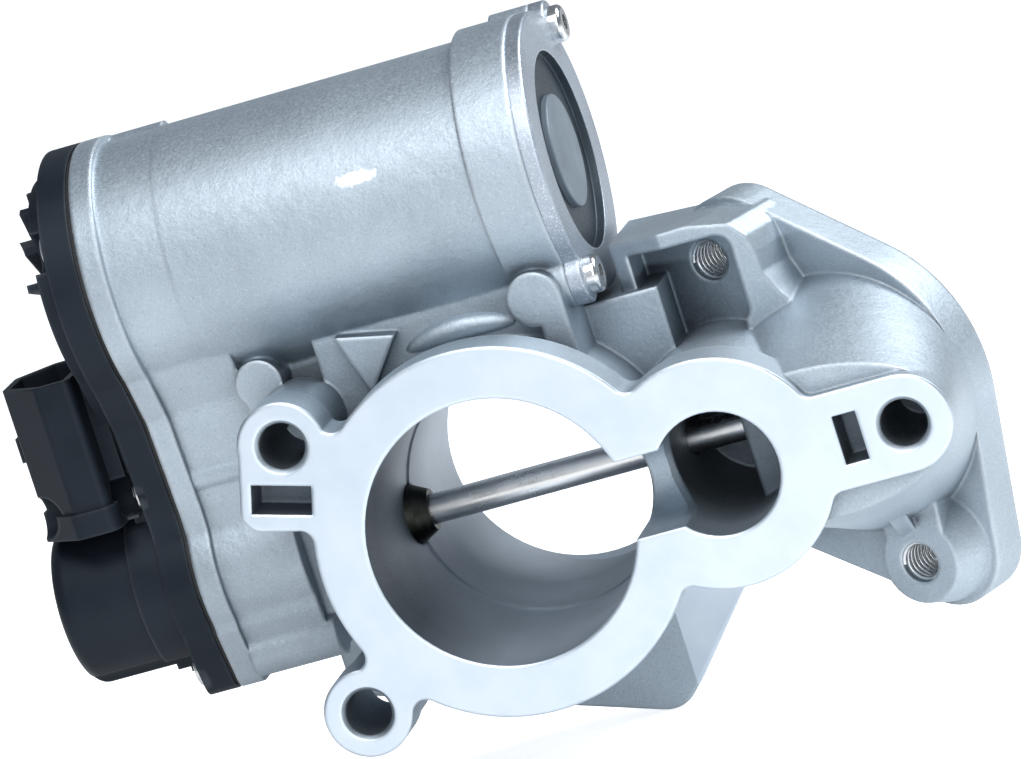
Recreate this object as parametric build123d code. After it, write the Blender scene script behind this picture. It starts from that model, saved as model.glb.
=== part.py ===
from build123d import *
import os
from math import sin, cos, pi, radians, degrees, sqrt, atan2, hypot, acos, tan

# An electrically driven exhaust gas recirculation valve on a cast air pipe.
# Origin: centre of the air bore on the machined front face. +X runs along the
# valve stem towards the exhaust flange, +Y along the air bore, +Z up.

# Driving dimensions, in millimetres
air_bore_r = 26.0            # air bore, front half
rear_bore_r = 25.6           # air bore, rear half, past the step
bore_step_y = 42.0
body_length = 83.0           # front face to rear face
tube_r = 32.5                # outside of the air pipe
front_ring_r = 36.0          # machined ring round the air bore
front_flange_t = 10.0
port_x = 43.3                # centre of the gas port on the front face
port_r = 12.0
port_ring_r = 22.3
port_depth = 53.0
throat_low = -8.1            # notch that joins the two bores at the front
throat_high = 7.3
throat_depth = 22.0
bolt_x = -35.5               # pair of fixing holes on the left
bolt_half_pitch = 27.0
lug_x = 80.0                 # single fixing hole on the right
bolt_hole_r = 4.5
bolt_chamfer = 0.75
ear_r = 8.6
right_ear_r = 9.4
ear_depth = 24.0
lug_hole_depth = 26.0         # blind hole of the right lug
stem_y = 41.0                # stem axis: y = stem_y, z = 0
stem_r = 3.0
motor_z = 60.6               # motor axis: y = stem_y, z = motor_z
barrel_r = 25.9
barrel_collar_r = 27.8
barrel_collar_x = 11.7
barrel_end_x = 22.8
barrel_bore_r = 21.8
seam_x = -66.5               # joint between gear case and cover
case_floor_x = -50.0
case_floor_t = 4.5
case_lip_w = 4.5
case_wall = 3.0
case_bulge_r = 27.1
lip_step = 1.3
rear_plate_t = 11.0
fit = 0.05                   # running clearance on a radius
press = 0.01                 # clearance drawn at pressed and glued seats
air_gap = 0.4                # clearance between moving pieces

# Corners of outlines that stay sharp, and how near a corner has to be to count as one of them
case_sharp_corners = [(25.5, -10.0)]
flange_sharp_corners = [(-27.0, 27.9), (-44.1, 27.5), (-34.4, -18.5)]
corner_match = 0.2

# Exhaust flange, on an inclined plane
flange_angle = 66.0          # turn of the flange normal from +X towards +Y
flange_centre = (63.5, 48.6, 0.0)
flange_t = 9.0
flange_arc_r = 31.5
flange_lobes = [((11.5, 32.5), 10.9), ((-16.0, -33.0), 10.8)]   # centre (u, z) and radius
flange_hole_u = 13.0
flange_hole_z = 32.7
flange_hole_r = 4.0
flange_hole_depth = 15.0
flange_boss_r = 8.2
flange_boss_foot_r = 11.5
hump_r = 27.0                # cast neck where it meets the flange plate
hump_u = -4.0
pocket_low = 24.8            # walled pocket in front of the upper hole
pocket_high = 38.7
pocket_wall = 2.5
pocket_left_x = 31.8
pocket_right_u = 3.2
pocket_front_y = 31.0
block_left_x = 28.5
exhaust_port_r = 15.5

# Valve and its seat
seat_x = 46.3
seat_t = 4.0
seat_outer_r = 12.0
seat_bore_r = 9.4
head_r = 10.9
head_t = 3.0
seat_gap = 0.1
valve_lift = 6.0
stem_tip_x = 54.0
stem_end_x = -80.5
bush_r = 6.0
bush_start_x = -46.0
bush_nose_x = -21.5

# Barrel cam, guide and gears
output_travel = 90.0
sleeve_inner_r = stem_r + 0.6
sleeve_r = 6.6
sleeve_end_x = -85.0
cam_r = 9.8
cam_end_x = -86.0
roller_r = 2.3
pin_r = 1.4
pin_x = -76.5
module = 0.8
pinion_teeth = 10
first_teeth = 42
second_teeth = 12
idler_teeth = 30
output_teeth = 32
backlash = 0.16
low_plane = (-57.0, -53.0)   # output and idler gears, next to the case floor
high_plane = (-63.5, -59.5)  # pinion and large reduction wheel, next to the cover

# Cover
cover_wall = 2.4
cover_flange_t = 6.7
rib_h = 2.8
gasket_t = 0.8
hub_r = 16.0
hub_end_x = -96.2
hub_wall = 2.2
socket_outline = [(-94.0, 31.0), (-85.5, 23.4), (-78.2, 23.4), (-78.2, 47.7), (-87.0, 47.7), (-94.0, 42.0)]
socket_z = (20.8, 46.6)
socket_wall = 1.5
socket_floor = 26.0
ledge_low = 15.8
pins_at = (-86.2, 36.0)      # middle of the connector pins, in X and Y

# Motor end cap
cap_t = 3.2
cap_ring_r = 27.6
cap_opening_r = 19.6
cap_recess = 1.8
plug_r = 11.2
cap_screw_angle = 50.5       # of the pair of screws, from +Y towards +Z
cap_screw_pitch_r = 27.9
cap_ear_r = 5.2
screw_r = 2.0
screw_head_r = 4.0

parts = {}


def front(y):
    """Plane across the air bore at depth y: local x is X, local y is Z, facing -Y."""
    return Plane((0, y, 0), x_dir=(1, 0, 0), z_dir=(0, -1, 0))


def across(x):
    """Plane across the stem at x: local x is Y, local y is Z, facing +X."""
    return Plane.YZ.offset(x)


def flange_plane(w):
    """Plane w in front of the exhaust mating face: local x is u, to the left, and local y is Z."""
    a = radians(flange_angle)
    n = (cos(a), sin(a), 0)
    centre = tuple(flange_centre[i] - w * n[i] for i in range(3))
    return Plane(centre, x_dir=(-sin(a), cos(a), 0), z_dir=n)


def bar_x(profile, x0, x1):
    return extrude(across(x0) * profile, amount=x1 - x0)


def bar_y(profile, y0, y1):
    return extrude(front(y0) * profile, amount=y0 - y1)


def bar_w(profile, w0, w1):
    return extrude(flange_plane(w0) * profile, amount=w0 - w1)


def rod_x(r, x0, x1, y=stem_y, z=0.0):
    return bar_x(Pos(y, z) * Circle(r), x0, x1)


def tube_x(r_in, r_out, x0, x1, y=stem_y, z=0.0):
    return bar_x(Pos(y, z) * (Circle(r_out) - Circle(r_in)), x0, x1)


def rod_y(r, y0, y1, x, z):
    return bar_y(Pos(x, z) * Circle(r), y0, y1)


def stretched(a, b, r):
    """Round-ended bar outline of half width r from point a to point b."""
    length = hypot(b[0] - a[0], b[1] - a[1])
    turn = degrees(atan2(b[1] - a[1], b[0] - a[0]))
    middle = Pos((a[0] + b[0]) / 2, (a[1] + b[1]) / 2) * Rot(0, 0, turn)
    return middle * Rectangle(length, 2 * r) + Pos(*a) * Circle(r) + Pos(*b) * Circle(r)


def rounded(face, r, sharp=()):
    """Round the corners of a flat outline, one at a time, apart from those listed as sharp."""
    shape = face
    for corner in face.vertices():
        if all(hypot(corner.X - x, corner.Y - y) > corner_match for x, y in sharp):
            shape = fillet(shape.vertices().sort_by_distance(corner)[0], r)
    return shape


def mesh_centre(a, ra, b, rb):
    """Point at ra from a and rb from b, on the +Y side."""
    gap = hypot(b[0] - a[0], b[1] - a[1])
    along = (ra * ra - rb * rb + gap * gap) / (2 * gap)
    off = sqrt(ra * ra - along * along)
    ux, uy = (b[0] - a[0]) / gap, (b[1] - a[1]) / gap
    return a[0] + ux * along - uy * off, a[1] + uy * along + ux * off


def gear_outline(teeth, phase):
    """Involute spur gear outline with one tooth centred on the angle phase."""
    pitch_r = module * teeth / 2
    base_r = pitch_r * cos(radians(20))
    tip_r = pitch_r + 0.95 * module
    root_r = pitch_r - 1.25 * module
    inv20 = tan(radians(20)) - radians(20)
    points = []
    for k in range(teeth):
        middle = phase + 2 * pi * k / teeth
        flank = []
        for r in (root_r, pitch_r, (pitch_r + tip_r) / 2, tip_r):
            slope = acos(min(1.0, base_r / r))
            half = pi / (2 * teeth) - backlash / 2 / pitch_r + inv20 - (tan(slope) - slope)
            flank.append((r, half * (0.9 if r < base_r else 1.0)))
        for r, half in flank:
            points.append((r * cos(middle - half), r * sin(middle - half)))
        for r, half in reversed(flank):
            points.append((r * cos(middle + half), r * sin(middle + half)))
    return make_face(Polyline(*points, close=True))


def mating_phase(centre_a, teeth_a, phase_a, centre_b, teeth_b):
    """Phase of gear b that puts its gap on a tooth of gear a where they mesh."""
    line = atan2(centre_b[1] - centre_a[1], centre_b[0] - centre_a[0])
    turned = (line - phase_a) * teeth_a / (2 * pi)
    return line + pi - (0.5 - turned) * 2 * pi / teeth_b


def spur(teeth, phase, centre, plane):
    return bar_x(Pos(*centre) * gear_outline(teeth, phase), plane[0], plane[1])


# Places worked out from the driving dimensions
motor_axis = (stem_y, motor_z)
stem_axis = (stem_y, 0.0)
reduction_offset = 5.4
reduction_reach = module * (pinion_teeth + first_teeth) / 2
reduction_axis = (stem_y + reduction_offset,
                  motor_z - sqrt(reduction_reach ** 2 - reduction_offset ** 2))
idler_axis = mesh_centre(reduction_axis, module * (second_teeth + idler_teeth) / 2,
                         stem_axis, module * (idler_teeth + output_teeth) / 2)
cap_screws_at = [(stem_y + s * cap_screw_pitch_r * cos(radians(cap_screw_angle)),
                  motor_z + s * cap_screw_pitch_r * sin(radians(cap_screw_angle))) for s in (1, -1)]
cover_screws_at = [(22.6, 71.6), (48.0, 82.0), (63.6, 61.0), (30.5, 20.5), (64.0, 9.5),
                   (32.5, -16.6), (52.0, -16.6)]
cover_boss_r = 3.6
gasket_x = seam_x - gasket_t
rim_x = gasket_x - cover_flange_t + gasket_t
hub_inner_r = hub_r - hub_wall


def case_outline():
    """Outline of the gear case at its cover joint, in Y and Z."""
    front_edge = [(17.0, 50.0), (24.8, 33.5), (27.0, 14.0), (25.5, -10.0), (30.0, -22.3)]
    back_edge = [(55.0, -22.3), (67.5, -4.0), (67.5, motor_z), (stem_y, motor_z)]
    flank = make_face(Polyline(*front_edge, *back_edge, close=True))
    bulge = Pos(*motor_axis) * Circle(case_bulge_r)
    return rounded(flank + bulge + Pos(*stem_axis) * Circle(17.4), 4.0, case_sharp_corners)


outline = case_outline()
case_inside = offset(outline, amount=-case_wall, kind=Kind.INTERSECTION)
case_outside = offset(outline, amount=-lip_step, kind=Kind.INTERSECTION)


def flange_front_outline():
    """The machined face: two rings, the right lug and the two left ears, in X and Z."""
    big = Circle(front_ring_r)
    small = Pos(port_x, 0) * Circle(port_ring_r)
    right = stretched((port_x, 0), (lug_x, 0), right_ear_r)
    upper = Pos(bolt_x, bolt_half_pitch) * Circle(ear_r)
    upper_skirt = make_face(Polyline((-44.1, 27.5), (-47.4, 15.6), (-45.6, 12.6), (-30.0, 8.6),
                                     (-22.0, 22.0), (-29.5, 31.0), close=True))
    lower = stretched((bolt_x, -bolt_half_pitch), (-22.0, -17.0), 6.2)
    lower_ear = Pos(bolt_x, -bolt_half_pitch) * Circle(ear_r)
    whole = big + small + right + upper + upper_skirt + lower + lower_ear
    return rounded(whole, 2.6, flange_sharp_corners)


def housing():
    face = flange_front_outline()
    body = bar_y(face, 0, front_flange_t)
    body += rod_y(tube_r, front_flange_t - 1, body_length, 0, 0)
    for side in (1, -1):
        body += rod_y(ear_r - 0.6, 0.5, ear_depth, bolt_x, side * bolt_half_pitch)
    # rear plate of the air pipe
    rear = make_face(Polyline((-57, -38), (7, -58.5), (31, -31), (33, 5), (22, 27), (-20, 38), (-57, 28),
                              close=True))
    body += bar_y(rounded(rear, 7.0), body_length - rear_plate_t, body_length)
    # gear case and motor barrel
    body += bar_x(outline, seam_x, seam_x + case_lip_w)
    body += bar_x(case_outside, seam_x + case_lip_w, case_floor_x + case_floor_t)
    body += rod_x(barrel_r, case_floor_x, barrel_end_x, *motor_axis)
    body += rod_x(barrel_collar_r, barrel_collar_x, barrel_end_x, *motor_axis)
    for y, z in cap_screws_at:
        body += rod_x(cap_ear_r, barrel_collar_x + 3.0, barrel_end_x, y, z)
    # webs between barrel, case and air pipe
    body += Pos(-34, 44, 15) * Box(26, 28, 56)
    body += Pos(-6, 42, 34) * Box(48, 36, 20)
    body += rod_x(11.0, case_floor_x, -28.0)
    body += rod_y(4.7, 22.0, 45.0, -42.0, 36.0)
    body += Pos(-42.0, 33.5, 31.0) * Box(7.0, 23.0, 10.0)
    body += rod_y(5.3, 16.0, 45.0, 16.0, 38.5)
    body += Pos(18.6, 28.0, 29.0) * Box(5.4, 24.0, 19.0)
    facet = make_face(Polyline((-24.5, 41.0), (-13.0, 38.5), (-20.7, 28.5), close=True))
    body += bar_y(facet, 20.0, 45.0)
    body += rod_x(4.5, seam_x + case_lip_w, -44.0, 31.5, -16.6)
    body += rod_x(4.6, seam_x + case_lip_w, -51.0, *cover_screws_at[1])
    # exhaust passage, flange plate and bosses
    body += exhaust_body()
    body -= bar_w(Pos(-3.0, 0.0) * Rectangle(74.0, 110.0), -40.0, 0.0)
    # cavities
    body -= bar_x(case_inside, seam_x - 1, case_floor_x)
    body -= rod_x(barrel_bore_r, case_floor_x + case_floor_t, barrel_end_x + 1, *motor_axis)
    for y, z in cover_screws_at:
        body += rod_x(cover_boss_r, seam_x, case_floor_x + 0.5, y, z)
    for y, z in cover_screws_at:
        body -= rod_x(screw_r + press, seam_x - 1, seam_x + 11.0, y, z)
    for y, z in cap_screws_at:
        body -= rod_x(screw_r + press, barrel_end_x - 8.0, barrel_end_x + 1, y, z)
    body -= rod_x(bearing_r + press, case_floor_x - 1, case_floor_x + case_floor_t + 1, *motor_axis)
    for axis in (reduction_axis, idler_axis):
        body += rod_x(4.2, case_floor_x - 2.0, case_floor_x, *axis)
        body -= rod_x(gear_pin_r + press, case_floor_x - 3.0, case_floor_x + pin_depth, *axis)
    # air bore, gas port, throat and valve passage
    body -= rod_y(air_bore_r, -1, bore_step_y, 0, 0)
    body -= rod_y(rear_bore_r, bore_step_y - 1, body_length + 1, 0, 0)
    body -= rod_y(port_r, -1, 26.5, port_x, 0)
    deep = rod_y(port_r, 20, port_depth, port_x, 0) & Pos(0, 40, 0) * Box(2 * (seat_x - 1.3), 60, 40)
    body -= deep
    throat_r = (throat_high - throat_low) / 2
    throat_z = (throat_high + throat_low) / 2
    body -= Pos(port_x / 2, (throat_depth - throat_r) / 2 - 1, throat_z) * Box(
        port_x, throat_depth - throat_r + 2, 2 * throat_r)
    body -= bar_x(Pos(throat_depth - throat_r, throat_z) * Circle(throat_r), 15.0, port_x)
    body -= rod_x(seat_bore_r + 0.4, seat_x - 3, seat_x + 1)
    body -= rod_x(seat_outer_r + press, seat_x, seat_x + seat_t + 1)
    body -= rod_x(seat_outer_r + 0.5, seat_x + seat_t, 70.0)
    port = bar_w(Circle(exhaust_port_r), -1, 2.5)
    port += bar_w(Circle(exhaust_port_r), 2.0, 16.0) & Pos(100, 40, 0) * Box(2 * (100 - seat_x - seat_t), 90, 60)
    body -= port
    body -= rod_x(stem_r + 0.35, case_floor_x - 3, 40.0)
    body -= rod_x(bush_r + press, bush_start_x, -20.0)
    body -= rod_x(seal_r + press, case_floor_x + 1.2, bush_start_x + 0.2)
    body -= rod_x(sleeve_seat_r + press, case_floor_x - 3, case_floor_x + 1.2)
    # fixing holes and locating slots
    for x, z in ((bolt_x, bolt_half_pitch), (bolt_x, -bolt_half_pitch), (lug_x, 0)):
        body -= rod_y(bolt_hole_r, -1, lug_hole_depth if x > 0 else ear_depth + 3.0, x, z)
        body -= extrude(front(-0.01) * Pos(x, z) * Circle(bolt_hole_r + bolt_chamfer), amount=-bolt_chamfer,
                        taper=45)
    body -= bar_y(Pos(-38.7, 17.1) * Rot(0, 0, -16) * Rectangle(11.7, 5.7), -1, 9.0)
    body -= bar_y(Pos(69.6, 0) * Rectangle(4.6, 9.6), -1, 9.0)
    for side in (1, -1):
        spot = Pos(side * flange_hole_u, side * flange_hole_z)
        body -= bar_w(spot * Circle(flange_hole_r), -1, 30.0)
    for x, z in rear_holes_at:
        body -= rod_y(rear_hole_r, body_length - 9.0, body_length + 1, x, z)
    return body


def flange_outline():
    """Exhaust flange outline: a round middle and two lobes joined by tangent sides."""
    shape = Circle(flange_arc_r)
    for spot, lobe_r in flange_lobes:
        shape += Pos(*spot) * Circle(lobe_r)
        shape += tangent_web((0, 0), flange_arc_r, spot, lobe_r)
    return shape


def tangent_web(a, ra, b, rb):
    """Four-cornered patch between the two outer tangents of two circles."""
    gap = hypot(b[0] - a[0], b[1] - a[1])
    along = atan2(b[1] - a[1], b[0] - a[0])
    lean = acos((ra - rb) / gap)
    points = []
    for turn in (lean, -lean):
        points.append([(c[0] + r * cos(along + turn), c[1] + r * sin(along + turn)) for c, r in ((a, ra), (b, rb))])
    return make_face(Polyline(points[0][0], points[0][1], points[1][1], points[1][0], close=True))


def exhaust_body():
    plate = bar_w(flange_outline(), 0, flange_t)
    boss = loft([flange_plane(flange_t - 1.0) * Pos(-flange_hole_u - 1.5, 1.0 - flange_hole_z) * Circle(
                     flange_boss_foot_r),
                 flange_plane(flange_hole_depth) * Pos(-flange_hole_u, -flange_hole_z) * Circle(flange_boss_r)])
    boss += bar_w(stretched((-flange_hole_u, -flange_hole_z), (-flange_hole_u - 1.0, -20.0), 6.5), 4.0,
                  flange_hole_depth)
    hump = loft([flange_plane(flange_t - 3) * Pos(hump_u, -1.0) * Circle(hump_r),
                 front(2.5) * Pos(62.0, 0) * Ellipse(27.0, 14.5)])
    neck = bar_y(Pos(port_x, 0) * Circle(port_ring_r - 1.5), 2.0, 56.0)
    wrap = bar_x(Pos(*stem_axis) * Circle(16.5), 26.0, 62.0)
    rib = bar_x(make_face(Polyline((6.0, -7.0), (30.0, -27.0), (44.0, -26.0), (40.0, -7.0), close=True)), 67.0, 70.5)
    bracket = Pos(28.0, 45.0, 22.0) * Box(16.0, 26.0, 20.0)
    return plate + boss + hump + neck + wrap + rib + bracket + pocket_block()


def pocket_block():
    """Block round the upper flange hole, with a walled pocket open to the front and below."""
    top = pocket_high + pocket_wall
    right_side = [(10.0, top + 0.6), (2.5, 40.1), (0.1, 37.0), (-0.6, 33.5), (-0.8, 29.5), (-2.5, 25.5), (-6.0, 19.0)]
    slab = make_face(Polyline((37.0, top), *right_side, (37.0, 19.0), close=True))
    block = bar_w(slab, 4.0, flange_hole_depth)
    front_part = make_face(Polyline((37.0, top), *right_side, (4.5, 19.0), (4.5, pocket_low), (37.0, pocket_low),
                                    close=True))
    block += bar_w(front_part, flange_hole_depth, 26.0)
    reach = 60.0
    block &= Pos(block_left_x + reach / 2, pocket_front_y + reach / 2, pocket_low) * Box(reach, reach, reach)
    hollow = bar_w(Pos(pocket_right_u + reach / 2, (pocket_low + pocket_high) / 2 - 2.0) * RectangleRounded(
        reach, pocket_high - pocket_low + 4.0, 3.0), flange_hole_depth, 40.0)
    hollow &= Pos(pocket_left_x + reach / 2, 40.0, 30.0) * Box(reach, reach, reach)
    return block - hollow


# More fits that the housing shares with the pieces in it
bearing_r = 6.5
bearing_w = case_floor_t
gear_pin_r = 1.5
seal_r = 7.0
sleeve_seat_r = 8.5
rear_hole_r = 2.5
rear_holes_at = [(-50.0, -31.0), (2.5, -50.0), (-48.0, 21.0)]


def cam_slot(turn):
    """Cutter for one helical track of the barrel cam, for the roller at angle turn."""
    half_width = roller_r + 0.08
    track_r = (sleeve_r + cam_r) / 2
    lead = valve_lift * 360.0 / output_travel
    path = Helix(lead, valve_lift, track_r, lefthand=True)
    start = Plane(path @ 0, x_dir=(1, 0, 0), z_dir=path % 0)
    track = sweep(start * Rectangle(8.0, 2 * half_width), path=path, is_frenet=True)
    ends = []
    for share in (0, 1):
        angle = -output_travel * share
        bore = Rot(0, 0, angle) * (Pos(track_r, 0, valve_lift * share) * Rot(0, 90, 0) * Cylinder(half_width, 8.0))
        ends.append(bore)
    whole = track + ends[0] + ends[1]
    return across(pin_x) * Pos(stem_y, 0) * Rot(0, 0, turn) * whole


def barrel_cam():
    phase = mating_phase(idler_axis, idler_teeth, idler_phase, stem_axis, output_teeth)
    body = tube_x(sleeve_r + fit, cam_r, cam_end_x, low_plane[1] + 0.8)
    body += spur(output_teeth, phase, stem_axis, low_plane)
    body -= rod_x(sleeve_r + fit, cam_end_x - 1, low_plane[1] + 1.0)
    return body - cam_slot(0) - cam_slot(180)


def guide_sleeve():
    """Fixed sleeve round the stem; two straight slots keep the cross pin from turning."""
    body = tube_x(sleeve_inner_r, sleeve_r, sleeve_end_x, case_floor_x)
    body += tube_x(sleeve_inner_r, sleeve_seat_r, case_floor_x - 1.6, case_floor_x + 1.2)
    half = pin_r + fit
    slot = stretched((pin_x, 0), (pin_x + valve_lift, 0), half)
    return body - bar_y(slot, stem_y - 2 * sleeve_r, stem_y + 2 * sleeve_r)


def valve_stem():
    body = rod_x(stem_r, stem_end_x, stem_tip_x)
    body -= rod_y(pin_r + press, stem_y - 5, stem_y + 5, pin_x, 0)
    return chamfer(body.edges().sort_by(Axis.X)[-1], 0.5)


def valve_head():
    left = seat_x + seat_t + seat_gap
    profile = Polyline((left, stem_r + press), (left, head_r), (left + 1.2, head_r),
                       (left + head_t, stem_r + 3.0), (left + head_t, stem_r + press), close=True)
    spin = revolve(make_face(profile), Axis.X)
    return Pos(0, stem_y, 0) * spin


def seat_ring():
    ring = tube_x(seat_bore_r, seat_outer_r, seat_x, seat_x + seat_t)
    rim = ring.edges().filter_by(GeomType.CIRCLE).sort_by(Axis.X)
    inner = [e for e in rim if abs(e.radius - seat_bore_r) < 0.01]
    return chamfer(inner, 0.7)


def stem_bush():
    """Guide bush with a tapered nose that stands in the air bore."""
    body = rod_x(bush_r, bush_start_x, -26.0)
    body += Pos(0, stem_y, 0) * revolve(make_face(Polyline(
        (-26.5, 0), (-26.5, bush_r - 0.1), (-24.4, bush_r - 0.4), (bush_nose_x, 4.1), (bush_nose_x, 0),
        close=True)), Axis.X)
    return body - rod_x(stem_r + fit, bush_start_x - 1, bush_nose_x + 1)


def stem_seal():
    ring = tube_x(stem_r + fit, seal_r, case_floor_x + 1.2, bush_start_x)
    groove = tube_x(stem_r + 1.2, seal_r - 1.4, case_floor_x + 1.1, bush_start_x - 1.6)
    return ring - groove


def rollers():
    group = []
    for side in (1, -1):
        near = stem_y + side * (sleeve_r + 0.3)
        far = stem_y + side * (cam_r - 0.1)
        ring = Pos(pin_x, 0) * (Circle(roller_r) - Circle(pin_r + press))
        group.append(bar_y(ring, min(near, far), max(near, far)))
    return Compound(group)


def spring():
    wire = 0.75
    coil_r = cam_r + 1.6
    left = cam_end_x + 3.0
    path = Helix(2.6, 13.0, coil_r)
    start = Plane(path @ 0, x_dir=(1, 0, 0), z_dir=path % 0)
    coil = sweep(start * RegularPolygon(wire, 8), path=path, is_frenet=True)
    return across(left) * Pos(stem_y, 0) * coil


def reduction_gear():
    big = spur(first_teeth, first_phase, reduction_axis, high_plane)
    small = spur(second_teeth, 0.0, reduction_axis, (high_plane[1], low_plane[1]))
    web = tube_x(second_r + 2.5, first_teeth * module / 2 - 3.0, high_plane[0] - 1, high_plane[0] + 1.2,
                 *reduction_axis)
    return big + small - web - rod_x(gear_pin_r + fit, -80, -40, *reduction_axis)


def idler_gear():
    body = spur(idler_teeth, idler_phase, idler_axis, low_plane)
    body -= tube_x(5.0, idler_teeth * module / 2 - 2.6, low_plane[0] - 1, low_plane[0] + 1.2, *idler_axis)
    return body - rod_x(gear_pin_r + fit, -80, -40, *idler_axis)


def gear_pin(axis, left):
    return rod_x(gear_pin_r, left, case_floor_x + pin_depth - 0.1, *axis)


def cover():
    """Moulded cover: rim, raised roof, hub dome, connector socket and screw seats."""
    roof_x = rim_x - 3.6
    body = bar_x(outline, rim_x, gasket_x)
    raised = offset(outline, amount=-4.6, kind=Kind.INTERSECTION)
    body += bar_x(raised, roof_x, rim_x)
    body += rod_x(hub_r, hub_end_x, rim_x)
    body = fillet(body.edges().filter_by(GeomType.CIRCLE).group_by(Axis.X)[0], 3.0)
    body += rod_x(hub_r + 1.2, roof_x - 2.6, rim_x)
    # connector socket, its ledge, and the web that joins it to the roof
    body += socket_bar(0.0, socket_z[0], socket_z[1])
    body += socket_bar(0.9, ledge_low, socket_z[0])
    body += Pos(-78.0, 36.0, 30.0) * Box(6.0, 14.0, 28.0)
    latch = Pos(-94.3, 36.5, 34.0) * Box(2.0, 6.0, 5.0)
    body += latch
    # stiffening ribs on the roof over the motor
    for k in range(7):
        spoke = Pos(0, 12.0) * Rectangle(1.6, 17.0)
        star = Pos(*motor_axis) * Rot(0, 0, -75 + 25 * k) * spoke
        body += bar_x(star, roof_x - rib_h, roof_x + 0.5)
    body += tube_x(8.0, 10.0, roof_x - rib_h, roof_x + 0.5, *motor_axis)
    # inside
    inside = offset(outline, amount=-cover_wall - 0.6, kind=Kind.INTERSECTION)
    body -= bar_x(inside, rim_x + cover_wall, gasket_x + 1)
    body -= bar_x(offset(outline, amount=-4.6 - cover_wall, kind=Kind.INTERSECTION),
                  roof_x + cover_wall, rim_x + cover_wall + 1)
    body -= rod_x(hub_inner_r, hub_end_x + hub_wall, rim_x + cover_wall + 1)
    body -= socket_bar(-socket_wall, socket_floor, socket_z[1] + 1)
    # screw pillars, through holes and head recesses
    for y, z in cover_screws_at:
        body += rod_x(cover_boss_r, head_seat_x, gasket_x, y, z)
    for y, z in cover_screws_at:
        body -= rod_x(screw_r + 0.3, hub_end_x, gasket_x + 1, y, z)
        body -= rod_x(cover_boss_r + 0.6, hub_end_x, head_seat_x, y, z)
    body += rod_x(3.4, roof_x + 1, pin_left_x + 2.5, *reduction_axis)
    body -= rod_x(gear_pin_r + press, pin_left_x - 0.4, pin_left_x + 3, *reduction_axis)
    for x, y in pin_places():
        body -= Pos(x, y, socket_floor - 1.2) * Box(0.8 + 2 * press, 0.8 + 2 * press, 3.0)
    return body


def socket_bar(grow, z0, z1):
    """Upright bar with the connector's outline, larger by grow."""
    shape = rounded(make_face(Polyline(*socket_outline, close=True)), 1.6)
    if grow:
        shape = offset(shape, amount=grow)
    return extrude(Plane.XY.offset(z0) * shape, amount=z1 - z0)


def pin_places():
    """Middles of the connector pins, in two rows."""
    return [(pins_at[0] + (k % 2 - 0.5) * 4.2, pins_at[1] + (k // 2 - 1) * 4.6) for k in range(pin_count)]


def pins():
    return Compound([Pos(x, y, socket_floor + 4.3) * Box(0.8, 0.8, 13.0) for x, y in pin_places()])


def pan_screw(length, y, z, seat, facing):
    """Pan-head screw along X; facing +1 has its head towards +X."""
    shank = rod_x(screw_r, min(seat, seat - facing * length), max(seat, seat - facing * length), y, z)
    head_end = seat + facing * screw_head_h
    head = rod_x(screw_head_r - 0.3, min(seat, head_end), max(seat, head_end), y, z)
    top = head.edges().filter_by(GeomType.CIRCLE).sort_by(Axis.X)[-1 if facing > 0 else 0]
    head = fillet(top, 1.0)
    socket = Pos(y, z) * RegularPolygon(1.7, 6)
    cut = bar_x(socket, min(head_end, head_end - facing * 1.3), max(head_end, head_end - facing * 1.3))
    return shank + head - cut


def cover_gasket():
    inside = offset(outline, amount=-case_wall, kind=Kind.INTERSECTION)
    ring = bar_x(offset(outline, amount=-0.5, kind=Kind.INTERSECTION) - inside, gasket_x, seam_x)
    for y, z in cover_screws_at:
        ring += rod_x(cover_boss_r, gasket_x, seam_x, y, z)
    for y, z in cover_screws_at:
        ring -= rod_x(screw_r + 0.3, gasket_x - 1, seam_x + 1, y, z)
    return ring


def end_cap():
    disc = Pos(*motor_axis) * Circle(cap_ring_r)
    for y, z in cap_screws_at:
        disc += stretched(motor_axis, (y, z), cap_ear_r)
    body = bar_x(disc, barrel_end_x, barrel_end_x + cap_t)
    body = fillet(body.edges().group_by(Axis.X)[-1], 0.6)
    body += rod_x(barrel_bore_r - fit, barrel_end_x - cap_spigot, barrel_end_x, *motor_axis)
    body -= tube_x(barrel_bore_r - 1.8, barrel_bore_r + 1, cap_seal_x[0], cap_seal_x[1], *motor_axis)
    body -= rod_x(cap_opening_r, barrel_end_x + cap_t - cap_recess, barrel_end_x + cap_t + 1, *motor_axis)
    body -= rod_x(bearing_r + 2.6, barrel_end_x - cap_spigot - 1, barrel_end_x - 1.0, *motor_axis)
    for y, z in cap_screws_at:
        body -= rod_x(screw_r + 0.3, barrel_end_x - 1, barrel_end_x + cap_t + 1, y, z)
    return body


def armature():
    slots = 9
    core = Pos(*motor_axis) * Circle(armature_r)
    for k in range(slots):
        cut = Pos(*motor_axis) * Rot(0, 0, 360 / slots * k) * Pos(armature_r - 3.6, 0)
        core -= cut * (Rectangle(7.2, 4.4) + Pos(3.6, 0) * Rectangle(3.0, 1.6))
    core -= Pos(*motor_axis) * Circle(shaft_r + press)
    return bar_x(core, armature_x[0], armature_x[1])


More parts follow.
